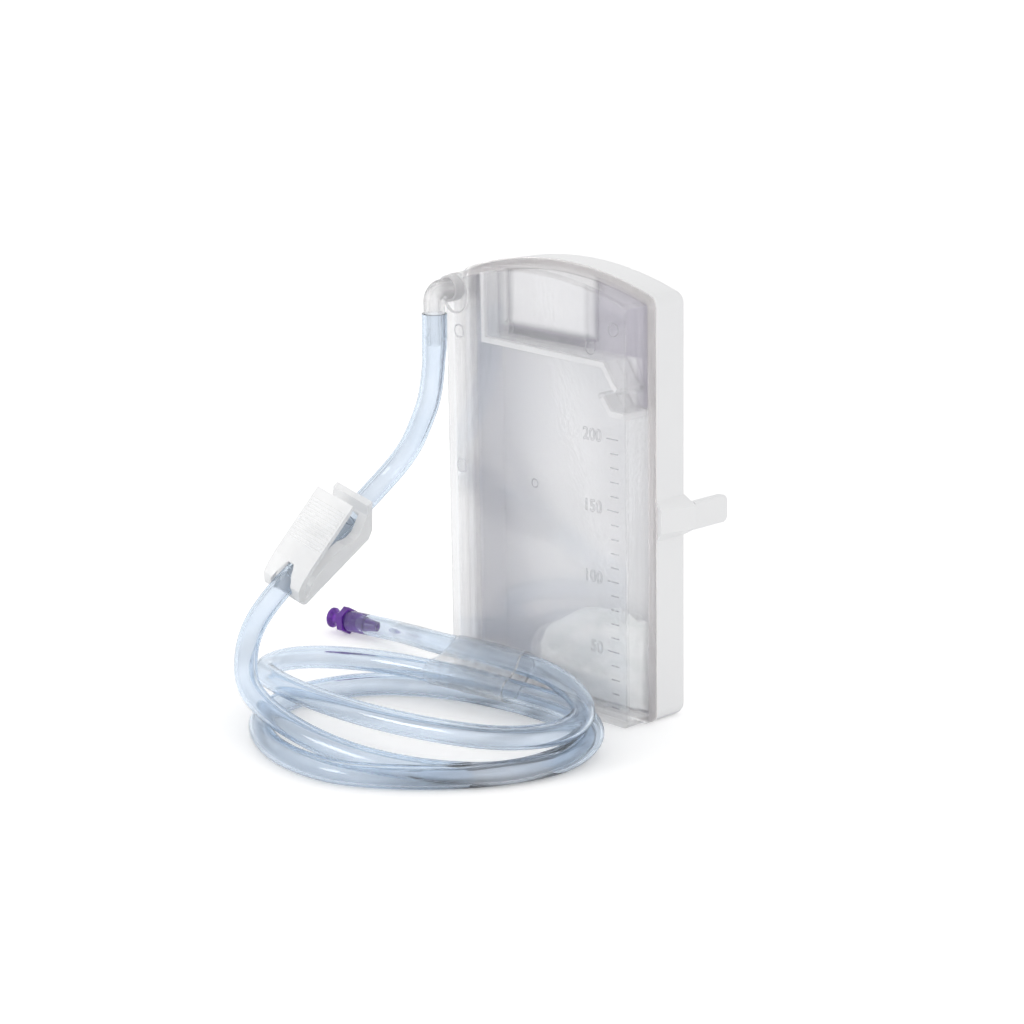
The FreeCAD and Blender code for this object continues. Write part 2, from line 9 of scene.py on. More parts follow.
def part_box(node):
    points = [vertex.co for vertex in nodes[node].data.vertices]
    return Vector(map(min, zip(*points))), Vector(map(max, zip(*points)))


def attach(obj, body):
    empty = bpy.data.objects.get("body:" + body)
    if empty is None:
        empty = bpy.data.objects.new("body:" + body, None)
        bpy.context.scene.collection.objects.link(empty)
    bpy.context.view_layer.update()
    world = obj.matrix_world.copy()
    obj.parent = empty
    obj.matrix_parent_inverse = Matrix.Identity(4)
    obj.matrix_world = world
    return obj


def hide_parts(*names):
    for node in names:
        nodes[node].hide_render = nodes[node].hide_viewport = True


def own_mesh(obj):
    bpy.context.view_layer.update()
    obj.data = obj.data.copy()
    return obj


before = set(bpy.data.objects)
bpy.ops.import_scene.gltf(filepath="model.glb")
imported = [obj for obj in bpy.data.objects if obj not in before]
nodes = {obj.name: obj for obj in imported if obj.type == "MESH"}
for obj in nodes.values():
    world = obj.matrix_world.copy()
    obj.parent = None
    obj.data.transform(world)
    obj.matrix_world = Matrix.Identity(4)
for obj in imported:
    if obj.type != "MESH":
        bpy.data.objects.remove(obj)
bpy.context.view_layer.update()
MM = 0.001
WHITE = (1, 1, 1, 1)

# The clear shell's face, and the edges of what shows behind it
FRONT_Y = -14.3 * MM
CHAMBER_LEFT = -25.6 * MM
CHAMBER_LOW = 128.9 * MM
FELT_LEFT = -23.2 * MM
FELT_RIGHT = 18.2 * MM
FELT_LOW = 133.7 * MM
# Widths of the painted shade along the felt's left, right and lower edges
FELT_SHADE_LEFT = 1.6 * MM
FELT_SHADE_RIGHT = 1.2 * MM
FELT_SHADE_LOW = 1.1 * MM
CHANNEL_LEFT = 37.6 * MM
CHANNEL_LOW = 112.2 * MM
# Painted light: the filter carrier turns paler to the right of this
PALER_X = 17.0 * MM
PALER_SOFT = 7.0 * MM

# Masks, noise and soft edges of the finishes
MASK_SOFT = 0.4 * MM
SPECKLE_SPAN = (0.3, 0.7)
CLOUD_SPAN = (0.35, 0.65)
RELIEF_STRENGTH = 0.6
CLAMP_BODY_EDGE = 0.35 * MM
CLAMP_LEAF_EDGE = 0.25 * MM
SHARP_ANGLE = math.radians(35)

# Painted shade on the inner floor
SHADE_X = -27.0 * MM
SHADE_Z = 28.0 * MM
SHADE_SOFT = 14.0 * MM
INSIDE_Y = 12.6 * MM
INSIDE_LOW = 1.0 * MM
INSIDE_X = 45.0 * MM

# Tube
TUBE_R = 4.1 * MM
BORE_R = 2.9 * MM
CLAMP_IN = Vector((-65.1, -38.3, 66.7)) * MM
CLAMP_OUT = Vector((-64.6, -74.3, 45.3)) * MM
ALONG = (CLAMP_OUT - CLAMP_IN).normalized()
PINCH_FROM = CLAMP_IN + ALONG * 9 * MM
PINCH_TO = CLAMP_IN + ALONG * 39 * MM
PINCH_STEPS = 24
JOINT_GAP = 0.04 * MM
SHOULDER_Z = 138.0 * MM
BARB_LEN = 11.3 * MM
BARB_SWELL = 0.35 * MM
SETTLE_LEN = 6.0 * MM
TUBE_TINT = (0.37, 0.70, 1.0)
TUBE_DENSITY = 105.0
ROUTE_STEPS = 16
TUBE_SIDES = 56

# Film over the last turn
FILM_FROM_X = 12.5 * MM
FILM_TO_X = -25.0 * MM
FILM_GAP = 0.45 * MM
FILM_T = 0.12 * MM
FILM_SAG = 1.1 * MM
CREASE = 0.22 * MM
CREASE_SCALE = 260
TAIL_FRONT_Y = -34.0 * MM
TURN_FRONT_Y = -60.0 * MM
TURN_LOW_Z = 10.0 * MM
TURN_HIGH_Z = 16.5 * MM
ARC_STEPS = 24
FLAT_STEPS = 8

# Sachet
POUCH_ACROSS = 84
POUCH_UP = 56
POUCH_SEAL = 0.66 * MM
POUCH_TOP_GAP = 2.5 * MM
POUCH_RISE_TO = 0.55
POUCH_TOP_WAVE = 3.2 * MM
POUCH_RIM_WAVE = 0.5 * MM
POUCH_JOIN = 0.02 * MM
POUCH_FADE_Z = 35.0 * MM
POUCH_FADE_SOFT = 8.0 * MM

# Inlet port on the front face
PORT_X = -38.3 * MM
PORT_Z = 145.8 * MM
PAD_Z = 143.7 * MM
PAD_R = 6.1 * MM
PAD_Y = -15.6 * MM
PAD_BEAD = 0.35 * MM
PAD_RISE = 0.8 * MM
SOCKET_LEN = 3.5 * MM
SOCKET_OUT_R = 4.7 * MM
SOCKET_IN_R = 3.95 * MM

# Milky cores of the moulded ribs, as lines in X and Z, in millimetres
CHAMBER_RIB = ((-26.9, 152.0), (-26.9, 128.3), (32.4, 127.4), (37.2, 120.8), (39.0, 119.4))
HOOK_RIB = ((42.6, 110.9), (35.9, 111.1), (31.9, 116.1))
RIB_CORE_T = 2.0 * MM
RIB_FROM_Y = -12.9 * MM
RIB_TO_Y = -2.2 * MM

# Scale digits and moulding marks on the front face
DIGIT_RIGHT_X = 33.2 * MM
Z_50_ML = 27.6 * MM
Z_PER_50_ML = 25.09 * MM
DIGIT_SIZE = 6.1 * MM
DIGIT_LINE_R = 0.1 * MM
MARKS = 20
MARKS_PER_50_ML = 5
MARK_RIGHT_X = 41.1 * MM
LONG_MARK = 5.4 * MM
SHORT_MARK = 3.6 * MM
MARK_H = 0.28 * MM
MARK_T = 0.3 * MM
PIN_MARKS = [(x * MM, z * MM) for x, z in (
    (-38.0, 130.0), (-38.0, 81.0), (-12.0, 135.0), (28.0, 133.0), (39.0, 140.5))]
PIN_MARK_R = 2.3 * MM
GATE_MARK = (0.0, 81.0 * MM)
GATE_MARK_R = 1.5 * MM
BEAD_R = 0.2 * MM
BEAD_FLATNESS = 0.7

# Set: the floor, soft panels towards this many sides, and the photograph's camera
FLOOR_SIZE = 20
PANELS = 8
CAMERA_TURN = math.radians(47.029)
CAMERA_TILT = math.radians(14.70)
CAMERA_ROLL = math.radians(-0.881)
CAMERA_TARGET = Vector((-11.988, -14.3, 68.351)) * MM
CAMERA_DISTANCE = 1018.74 * MM
FOCAL_PX = 2883.19
PHOTO_PX = 1024
SENSOR_MM = 36


def mm(points):
    return [Vector(p) * MM for p in points]


# Finishes


def material(name, **values):
    """A Principled material with plain values on its sockets."""
    m = bpy.data.materials.new(name)
    m.use_nodes = True
    shader = m.node_tree.nodes["Principled BSDF"]
    for key, value in values.items():
        shader.inputs[key.replace("_", " ")].default_value = value
    return m


def add(m, kind, **settings):
    node = m.node_tree.nodes.new(kind)
    for key, value in settings.items():
        if key in node.inputs:
            node.inputs[key].default_value = value
        else:
            setattr(node, key, value)
    return node


def link(m, a, out, b, into):
    m.node_tree.links.new(a.outputs[out], b.inputs[into])


def textured(m, scale, rough, relief=0.0, detail=3.0):
    """Noise that varies the roughness between two values and raises a fine relief."""
    shader = m.node_tree.nodes["Principled BSDF"]
    place = add(m, "ShaderNodeTexCoord")
    speckle = add(m, "ShaderNodeTexNoise", Scale=scale, Detail=detail)
    spread = add(m, "ShaderNodeMapRange")
    spread.inputs["From Min"].default_value, spread.inputs["From Max"].default_value = SPECKLE_SPAN
    spread.inputs["To Min"].default_value, spread.inputs["To Max"].default_value = rough
    link(m, place, "Object", speckle, "Vector")
    link(m, speckle, "Fac", spread, "Value")
    link(m, spread, "Result", shader, "Roughness")
    if relief:
        raised = add(m, "ShaderNodeBump", Strength=RELIEF_STRENGTH, Distance=relief)
        link(m, speckle, "Fac", raised, "Height")
        link(m, raised, "Normal", shader, "Normal")
    return m


def mottled(m, scale, first, second, detail=2.0):
    """Soft patches of two close colours."""
    place = add(m, "ShaderNodeTexCoord")
    cloud = add(m, "ShaderNodeTexNoise", Scale=scale, Detail=detail)
    ramp = add(m, "ShaderNodeValToRGB")
    for stop, at, colour in zip(ramp.color_ramp.elements, CLOUD_SPAN, (first, second)):
        stop.position = at
        stop.color = (*colour, 1)
    link(m, place, "Object", cloud, "Vector")
    link(m, cloud, "Fac", ramp, "Fac")
    link(m, ramp, "Color", m.node_tree.nodes["Principled BSDF"], "Base Color")
    return m


def absorbing(m, colour, density):
    """Tint that deepens with the thickness that light crosses."""
    depth = add(m, "ShaderNodeVolumeAbsorption", Color=(*colour, 1), Density=density)
    link(m, depth, "Volume", m.node_tree.nodes["Material Output"], "Volume")
    return m


def edge_mask(m, parts, axis, at, side, soft=MASK_SOFT):
    """1 on one side of a place along an axis, 0 on the other."""
    spread = add(m, "ShaderNodeMapRange")
    spread.inputs["From Min"].default_value = at - side * soft
    spread.inputs["From Max"].default_value = at + side * soft
    link(m, parts, axis, spread, "Value")
    return spread


def joined(m, operation, masks):
    """One mask out of several, by MINIMUM or MAXIMUM."""
    whole = masks[0]
    for mask in masks[1:]:
        step = add(m, "ShaderNodeMath", operation=operation)
        link(m, whole, 0, step, 0)
        link(m, mask, 0, step, 1)
        whole = step
    return whole


def blended(m, mask, colour):
    """Changes the finish to another colour where the mask is 1."""
    base = m.node_tree.nodes["Principled BSDF"].inputs["Base Color"]
    own = base.links[0].from_socket
    mix = add(m, "ShaderNodeMix", data_type="RGBA")
    link(m, mask, 0, mix, "Factor")
    m.node_tree.links.new(own, mix.inputs[6])
    mix.inputs[7].default_value = (*colour, 1)
    m.node_tree.links.new(mix.outputs[2], base)
    return m


def placed(m):
    """X, Y and Z of the point on the piece."""
    parts = add(m, "ShaderNodeSeparateXYZ")
    link(m, add(m, "ShaderNodeTexCoord"), "Object", parts, "Vector")
    return parts


def clear_plastic():
    m = material("clear_plastic", IOR=1.36, Transmission_Weight=0.86, Alpha=0.44, Coat_Weight=0.6,
                 Coat_IOR=1.46, Coat_Roughness=0.05)
    textured(m, 700, (0.05, 0.10), 0.00002)
    return mottled(m, 45, (0.968, 0.964, 0.98), (0.945, 0.948, 0.968))


def relief_plastic():
    # Painted shade: a darker grey than the shell, standing in for the shade along the raised edges of the
    # digits and marks
    m = material("relief_plastic", IOR=1.46, Transmission_Weight=0.35, Alpha=0.6)
    textured(m, 900, (0.2, 0.3), 0.00001)
    return mottled(m, 90, (0.68, 0.68, 0.71), (0.64, 0.64, 0.67))


def white_plastic():
    """White, with painted shade on the rear shell's inner floor towards its left and its lower end."""
    m = material("white_plastic", IOR=1.46)
    textured(m, 2200, (0.30, 0.42), 0.00001)
    mottled(m, 30, (0.93, 0.933, 0.94), (0.915, 0.918, 0.928))
    parts = placed(m)
    # Painted shade: a darker grey on the inner floor, towards its left and its lower end
    painted_shade = joined(m, "MAXIMUM", [edge_mask(m, parts, "X", SHADE_X, -1, SHADE_SOFT),
                                 edge_mask(m, parts, "Z", SHADE_Z, -1, SHADE_SOFT)])
    inside = [edge_mask(m, parts, "Y", INSIDE_Y, -1), edge_mask(m, parts, "Z", INSIDE_LOW, 1),
              edge_mask(m, parts, "X", -INSIDE_X, 1), edge_mask(m, parts, "X", INSIDE_X, -1)]
    return blended(m, joined(m, "MINIMUM", [painted_shade] + inside), (0.74, 0.745, 0.79))


def gasket_rubber():
    # Painted glow: a faint white emission lightens the gasket
    m = material("gasket_rubber", Alpha=0.5, Emission_Color=WHITE, Emission_Strength=0.1)
    textured(m, 1500, (0.45, 0.6), 0.00002)
    return mottled(m, 200, (0.96, 0.92, 0.91), (0.93, 0.88, 0.87))


def carrier_plastic():
    """Plate painted dark as shade, with painted light making it paler on its right, and pale outside the
    chamber and its channel.
    """
    m = material("carrier_plastic", IOR=1.46)
    textured(m, 900, (0.35, 0.5), 0.00002)
    # Painted shade: the plate's dark violet stands in for the shade round the felt
    mottled(m, 90, (0.09, 0.08, 0.125), (0.07, 0.06, 0.10))
    parts = placed(m)
    # Painted light: paler towards the plate's right
    blended(m, edge_mask(m, parts, "X", PALER_X, 1, PALER_SOFT), (0.46, 0.435, 0.51))
    corner = joined(m, "MINIMUM", [edge_mask(m, parts, "Z", CHAMBER_LOW, -1),
                                   edge_mask(m, parts, "X", CHANNEL_LEFT, -1)])
    outside_chamber = joined(m, "MAXIMUM", [corner, edge_mask(m, parts, "X", CHAMBER_LEFT, -1),
                                 edge_mask(m, parts, "Z", CHANNEL_LOW, -1)])
    return blended(m, outside_chamber, (0.93, 0.93, 0.94))


def membrane_felt():
    """White felt, with painted shade along its left, right and lower edges."""
    m = material("membrane_felt")
    textured(m, 4500, (0.85, 0.95), 0.00005, 6.0)
    mottled(m, 1200, (0.95, 0.95, 0.955), (0.90, 0.90, 0.91))
    parts = placed(m)
    # Painted shade: dark violet along the felt's left, right and lower edges
    rim = joined(m, "MAXIMUM", [edge_mask(m, parts, "X", FELT_LEFT, -1, FELT_SHADE_LEFT),
                                edge_mask(m, parts, "X", FELT_RIGHT, 1, FELT_SHADE_RIGHT),
                                edge_mask(m, parts, "Z", FELT_LOW, -1, FELT_SHADE_LOW)])
    return blended(m, rim, (0.13, 0.12, 0.17))


def seal_rubber():
    m = material("seal_rubber")
    textured(m, 1800, (0.45, 0.65), 0.00002)
    return mottled(m, 300, (0.035, 0.035, 0.04), (0.025, 0.025, 0.03))


def sachet_film():
    """Cloudy film that thins out towards the pouch's top, with a faint painted glow."""
    # Painted glow: a faint white emission lightens the pouch
    m = material("sachet_film", IOR=1.45, Emission_Color=WHITE, Emission_Strength=0.1)
    textured(m, 900, (0.25, 0.5), 0.0001, 5.0)
    fade = edge_mask(m, placed(m), "Z", POUCH_FADE_Z, -1, POUCH_FADE_SOFT)
    fade.inputs["To Min"].default_value = 0.4
    link(m, fade, "Result", m.node_tree.nodes["Principled BSDF"], "Alpha")
    return mottled(m, 230, (0.99, 0.99, 0.99), (0.87, 0.905, 0.9), 4.0)


def elbow_plastic():
    """Milky above the shoulder, clearer where the barb sits in the tube."""
    m = material("elbow_plastic", IOR=1.38, Transmission_Weight=0.74, Coat_Weight=0.5, Coat_IOR=1.46,
                 Coat_Roughness=0.1)
    textured(m, 800, (0.14, 0.24), 0.00002)
    body = edge_mask(m, placed(m), "Z", SHOULDER_Z, 1)
    body.inputs["To Min"].default_value = 0.28
    body.inputs["To Max"].default_value = 0.7
    link(m, body, "Result", m.node_tree.nodes["Principled BSDF"], "Alpha")
    return mottled(m, 120, (0.97, 0.965, 0.97), (0.95, 0.95, 0.96))


def tube_vinyl():
    m = material("tube_vinyl", IOR=1.42, Transmission_Weight=0.97)
    textured(m, 260, (0.03, 0.08))
    mottled(m, 70, (0.93, 0.945, 0.97), (0.97, 0.975, 0.99))
    return absorbing(m, TUBE_TINT, TUBE_DENSITY)


def clamp_plastic():
    # Painted glow: a faint white emission lightens the clamp's shaded sides
    m = material("clamp_plastic", IOR=1.46, Alpha=0.7, Emission_Color=WHITE, Emission_Strength=0.05)
    textured(m, 1400, (0.30, 0.38))
    return mottled(m, 60, (0.955, 0.957, 0.96), (0.94, 0.943, 0.948))


def luer_plastic():
    m = material("luer_plastic", IOR=1.49, Transmission_Weight=0.55)
    textured(m, 900, (0.08, 0.18), 0.00001)
    return mottled(m, 150, (0.25, 0.06, 0.56), (0.20, 0.045, 0.46))


def band_film():
    m = material("band_film", IOR=1.25, Transmission_Weight=0.95, Alpha=0.55)
    textured(m, 500, (0.04, 0.12), 0.00008, 4.0)
    return mottled(m, 200, (0.98, 0.99, 1.0), (0.95, 0.975, 1.0))


def dress(node, m, bevel=0.0):
    """Gives a CAD node its finish, and soft edges where it has sharp ones."""
    o = nodes[node]
    o.data.materials.clear()
    o.data.materials.append(m)
    if bevel:
        edges = o.modifiers.new("Edges", "BEVEL")
        edges.width = bevel
        edges.segments = 2
        edges.limit_method = "ANGLE"
        edges.angle_limit = SHARP_ANGLE
        edges.harden_normals = True


def dress_frame():
    white, clamp = white_plastic(), clamp_plastic()
    dress("front_shell", clear_plastic())
    for node in ("rear_shell", "latch_right", "latch_left"):
        dress(node, white)
    dress("seam_gasket", gasket_rubber())
    dress("filter_carrier", carrier_plastic())
    dress("filter_membrane", membrane_felt())
    dress("outlet_seal", seal_rubber())
    dress("inlet_elbow", elbow_plastic())
    dress("clamp_body", clamp, CLAMP_BODY_EDGE)
    dress("clamp_leaf", clamp, CLAMP_LEAF_EDGE)
    dress("luer_connector", luer_plastic())


# Pieces from mesh code


def finished(name, mesh, m, smooth=True):
    data = bpy.data.meshes.new(name)
    bmesh.ops.recalc_face_normals(mesh, faces=mesh.faces)
    mesh.to_mesh(data)
    mesh.free()
    for f in data.polygons:
        f.use_smooth = smooth
    data.materials.append(m)
    o = bpy.data.objects.new(name, data)
    bpy.context.scene.collection.objects.link(o)
    return o


def skin(mesh, loops, closed=True):
    """Joins rings of corners, each to the next, with four-sided faces."""
    for a, b in zip(loops, loops[1:]):
        for k in range(len(a) if closed else len(a) - 1):
            mesh.faces.new((a[k], a[(k + 1) % len(a)], b[(k + 1) % len(b)], b[k]))


def ring_mark(name, x, z, radius, m, half=BEAD_R, y=FRONT_Y, rise=0.0, sides=48, bead=8):
    """A thin round bead, raised into a long round where the rise is above 0."""
    mesh = bmesh.new()
    loops = []
    for i in range(sides):
        a = 2 * math.pi * i / sides
        up = z + math.copysign(rise, math.sin(a))
        ring = []
        for k in range(bead):
            b = 2 * math.pi * k / bead
            r = radius + half * math.cos(b)
            ring.append(mesh.verts.new((x + r * math.cos(a), y - half * BEAD_FLATNESS * math.sin(b),
                                        up + r * math.sin(a))))
        loops.append(ring)
    skin(mesh, loops + loops[:1])
    return finished(name, mesh, m)


# Tube and its route


def smooth_route(name, points):
    """Points along a smooth line with the given ones as its control points."""
    data = bpy.data.curves.new(name, "CURVE")
    data.dimensions = "3D"
    line = data.splines.new("NURBS")
    line.points.add(len(points) - 1)
    for p, q in zip(line.points, points):
        p.co = (*q, 1)
    line.order_u = 3
    line.use_endpoint_u = True
    line.resolution_u = ROUTE_STEPS
    route = bpy.data.objects.new(name, data)
    bpy.context.scene.collection.objects.link(route)
    bpy.context.view_layer.update()
    mesh = bpy.data.meshes.new_from_object(route.evaluated_get(bpy.context.evaluated_depsgraph_get()))
    path = [v.co.copy() for v in mesh.vertices]
    bpy.data.objects.remove(route)
    return path


drop_points = mm([(-38.3, -25.6, 137.8), (-38.3, -25.6, 113.5), (-50.0, -25.0, 91.6), (-57.4, -26.1, 81.6),
                  (-62.5, -30.5, 74.0), (-65.1, -37.4, 67.2)]) + [PINCH_FROM]
lead_points = [PINCH_TO] + mm([(-64.5, -81.5, 41.0), (-64.4, -92.8, 29.9), (-55.8, -102.2, 19.0)])
first_turn = mm([(-42.5, -108.7, 15.0), (-23.0, -113.3, 12.5), (-3.6, -111.6, 8.5), (16.0, -106.0, 5.5),
                 (37.0, -96.5, 4.3), (53.6, -82.7, 4.2), (57.7, -61.0, 4.2), (51.2, -39.1, 4.2),
                 (35.7, -28.2, 4.2), (12.9, -25.5, 4.2), (-14.7, -29.1, 4.2), (-34.7, -36.5, 4.2),
                 (-50.7, -48.8, 4.2), (-58.9, -69.0, 4.2), (-56.7, -89.3, 4.2), (-45.0, -105.6, 4.2)])
second_turn = mm([(-24.6, -117.2, 4.2), (-4.3, -121.0, 4.2), (16.0, -118.3, 4.2), (38.0, -102.1, 4.2),
                  (53.9, -81.0, 4.2), (59.8, -57.5, 4.2), (55.1, -40.7, 6.5), (48.7, -36.2, 10.5),
                  (36.0, -35.2, 12.3), (13.1, -37.5, 13.0), (-17.7, -39.2, 12.4), (-49.8, -47.6, 13.0),
                  (-74.2, -64.7, 13.0), (-69.1, -85.8, 14.0)])
third_turn = mm([(-47.2, -93.3, 15.0), (-23.1, -95.3, 15.0), (0.2, -92.2, 14.0), (24.3, -84.8, 13.0),
                 (46.2, -75.6, 13.0), (58.4, -62.5, 14.0), (59.3, -50.3, 16.0), (49.4, -39.6, 18.0),
                 (29.5, -31.6, 20.0)])
tail_points = mm([(12.0, -30.0, 20.6), (-13.0, -29.4, 19.7), (-34.0, -28.0, 17.6), (-59.5, -20.0, 13.6),
                  (-92.0, -3.4, 5.4), (-112.6, -7.0, 5.4)])
long_points = lead_points + first_turn + second_turn + third_turn + tail_points


def hollow_tube(name, middles, radius_at, m, sides=TUBE_SIDES):
    """A tube with its bore, swept along points, with an annular face at each end."""
    mesh = bmesh.new()
    walk = [0.0]
    for p, q in zip(middles, middles[1:]):
        walk.append(walk[-1] + (q - p).length)
    along = [(q - p).normalized() for p, q in zip(middles, middles[1:])]
    along = [along[0]] + [(p + q).normalized() for p, q in zip(along, along[1:])] + [along[-1]]
    side = along[0].orthogonal().normalized()
    outer, inner = [], []
    for p, way, s in zip(middles, along, walk):
        side = (side - way * side.dot(way)).normalized()
        over = way.cross(side)
        r_out, r_in = radius_at(s)
        spokes = [side * math.cos(2 * math.pi * k / sides) + over * math.sin(2 * math.pi * k / sides)
                  for k in range(sides)]
        outer.append([mesh.verts.new(p + v * r_out) for v in spokes])
        inner.append([mesh.verts.new(p + v * r_in) for v in spokes])
    skin(mesh, outer)
    skin(mesh, inner[::-1])
    walls = len(mesh.faces)
    skin(mesh, [inner[0], outer[0]])
    skin(mesh, [outer[-1], inner[-1]])
    mesh.faces.ensure_lookup_table()
    for face in mesh.faces[walls:]:
        for edge in face.edges:
            edge.smooth = False
    return finished(name, mesh, m)


def evenly(start, end, count):
    return [start.lerp(end, i / count) for i in range(count + 1)]


def drop_radius(s):
    """The tube is stretched over the elbow's barb and settles behind its ridge."""
    behind = min(max((s - BARB_LEN) / SETTLE_LEN, 0), 1)
    ease = behind * behind * (3 - 2 * behind)
    return TUBE_R + BARB_SWELL * (1 - ease), BORE_R + BARB_SWELL * (1 - ease)


def plain_radius(s):
    return TUBE_R, BORE_R


def make_tube():
    vinyl = tube_vinyl()
    drop_path = smooth_route("drop_route", drop_points)
    long_path = smooth_route("long_route", long_points)
    drop = hollow_tube("tube_drop_line", drop_path, drop_radius, vinyl)
    long = hollow_tube("tube_long_line", long_path, plain_radius, vinyl)
    joint = ALONG * JOINT_GAP
    pinch_path = evenly(PINCH_FROM + joint, PINCH_TO - joint, PINCH_STEPS)
    pinch = hollow_tube("tube_pinch_wall", pinch_path, plain_radius, vinyl)
    for o in (drop, long, pinch):
        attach(o, "base")
    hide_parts("tube_drop")
    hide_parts("tube_lead", "tube_coil", "tube_tail")
    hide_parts("tube_pinch")
    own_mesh(pinch)
    return long_path


def film_ring(middle, partner, along):
    """One crumpled turn of film round two tubes that lie side by side."""
    across = partner - middle
    across -= along * across.dot(along)
    reach = across.length
    across.normalize()
    side = along.cross(across)
    r = TUBE_R + FILM_GAP
    ring = []
    for start, sign in ((0, 1), (reach, -1)):
        for k in range(ARC_STEPS):
            a = math.pi * k / (ARC_STEPS - 1)
            ring.append(middle + across * (start - sign * math.sin(a) * r) + side * sign * math.cos(a) * r)
        for k in range(1, FLAT_STEPS):
            sag = math.sin(math.pi * k / FLAT_STEPS) * FILM_SAG
            ring.append(middle + across * (start + sign * reach * k / FLAT_STEPS) - side * sign * (r - sag))
    centre = middle + across * reach / 2
    return [p + (p - centre).normalized() * noise.noise(p * CREASE_SCALE) * CREASE for p in ring]


def film_band(points):
    """Clear film wound round the last turn and the turn under it."""
    half = len(points) // 2
    tail = [(a, (b - a).normalized()) for a, b in zip(points[half:], points[half + 1:])
            if FILM_TO_X <= a.x <= FILM_FROM_X and a.y > TAIL_FRONT_Y and a.z > TURN_HIGH_Z]
    turn = [p for p in points[:len(points) * 5 // 6]
            if p.y > TURN_FRONT_Y and TURN_LOW_Z < p.z < TURN_HIGH_Z]
    mesh = bmesh.new()
    loops, girth = [], 0
    for middle, along in tail:
        partner = min(turn, key=lambda p: abs((p - middle).dot(along)) * 3 + (p - middle).length)
        ring = film_ring(middle, partner, along)
        girth = sum((b - a).length for a, b in zip(ring, ring[1:] + ring[:1]))
        loops.append([mesh.verts.new(p) for p in ring])
    skin(mesh, loops)
    band = finished("film_band", mesh, band_film())
    wall = band.modifiers.new("Film", "SOLIDIFY")
    wall.thickness = FILM_T
    wall.offset = 1
    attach(band, "base")
    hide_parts("coil_band")


def swollen(u, v):
    """Half thickness of the pouch, as a share: full in the middle, thin at the seals, heavier below."""
    return (1 - abs(2 * u - 1) ** 3.4) ** 0.5 * (1 - abs(2 * v - 1) ** 3.0) ** 0.5 * (1.06 - 0.32 * v)


def sachet():
    """A crumpled pouch of absorbent grains that leans in the fluid chamber."""
    low, high = (Vector(v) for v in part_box("gel_sachet"))
    size = high - low
    middle_y = (low.y + high.y) / 2
    mesh = bmesh.new()
    sheets = []
    for side in (-1, 1):
        sheet = []
        for j in range(POUCH_UP + 1):
            row = []
            for i in range(POUCH_ACROSS + 1):
                u, v = i / POUCH_ACROSS, j / POUCH_UP
                x = low.x + POUCH_SEAL + (size.x - 2 * POUCH_SEAL) * u
                lift = 0.5 + 0.5 * math.sin(min(u / POUCH_RISE_TO, 1) * math.pi / 2)
                z = low.z + (size.z - POUCH_TOP_GAP) * lift * v
                z += POUCH_TOP_WAVE * v * noise.noise(Vector((u * 5, 0, 3.1)))
                full = swollen(u, v)
                at = Vector((x, side * 0.02, z))
                lumps = noise.noise(at * 140) * 0.5 + noise.noise(at * 330) * 0.28
                slant = Vector((u * 7 + v * 3, v * 6 - u * 2, side * 5.0))
                folds = (0.5 - abs(noise.noise(slant))) * 0.5
                y = side * (full * size.y / 2 * (0.86 + 0.16 * lumps + 0.14 * folds))
                rim = POUCH_RIM_WAVE * math.sin(u * 34 + v * 21) * (1 - full)
                row.append((x, middle_y + y + rim, z))
            sheet.append(row)
        sheets.append(sheet)
    grids = [[[mesh.verts.new(p) for p in row] for row in sheet] for sheet in sheets]
    for grid in grids:
        skin(mesh, grid, closed=False)
    bmesh.ops.remove_doubles(mesh, verts=mesh.verts, dist=POUCH_JOIN)
    pouch = finished("gel_pouch", mesh, sachet_film())
    pouch.modifiers.new("Soft", "SUBSURF").levels = 1
    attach(pouch, "base")
    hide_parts("gel_sachet")


def rib_cores():
    """The milky middle of the moulded ribs, inside their clear skin, with a faint painted glow."""
    # Painted glow: a faint white emission lightens the rib cores
    milky = material("milky_plastic", IOR=1.46, Alpha=0.75, Emission_Color=WHITE, Emission_Strength=0.08)
    textured(milky, 900, (0.4, 0.5))
    mottled(milky, 60, (0.90, 0.90, 0.91), (0.87, 0.87, 0.885))
    for name, line in (("chamber_rib_core", CHAMBER_RIB), ("hook_rib_core", HOOK_RIB)):
        points = [Vector((x * MM, z * MM)) for x, z in line]
        runs = [(b - a).normalized() for a, b in zip(points, points[1:])]
        mesh = bmesh.new()
        loops = []
        for i, p in enumerate(points):
            before, after = runs[max(i - 1, 0)], runs[min(i, len(runs) - 1)]
            way = (before + after).normalized()
            out = Vector((-way.y, way.x)) * RIB_CORE_T / 2 / max(way.dot(after), 0.5)
            loops.append([mesh.verts.new((p.x + sign * out.x, y, p.y + sign * out.y))
                          for sign, y in ((1, RIB_FROM_Y), (1, RIB_TO_Y), (-1, RIB_TO_Y), (-1, RIB_FROM_Y))])
        skin(mesh, loops)
        mesh.faces.new(loops[0])
        mesh.faces.new(loops[-1])
        core = finished(name, mesh, milky, smooth=False)
        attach(core, "base")


def port_edges():
    """The milky rims of the inlet's pad and of its socket."""
    milky = material("milky_rim", IOR=1.46, Alpha=0.5)
    textured(milky, 900, (0.3, 0.4))
    mottled(milky, 60, (0.93, 0.92, 0.93), (0.88, 0.87, 0.89))
    pad = ring_mark("pad_rim", PORT_X, PAD_Z, PAD_R, milky, half=PAD_BEAD, y=PAD_Y, rise=PAD_RISE)
    start = Vector((PORT_X, PAD_Y, PORT_Z))
    end = start + Vector((0, -SOCKET_LEN, 0))
    socket = hollow_tube("socket_rim", evenly(start, end, 2), lambda s: (SOCKET_OUT_R, SOCKET_IN_R), milky)
    for rim in (pad, socket):
        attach(rim, "base")


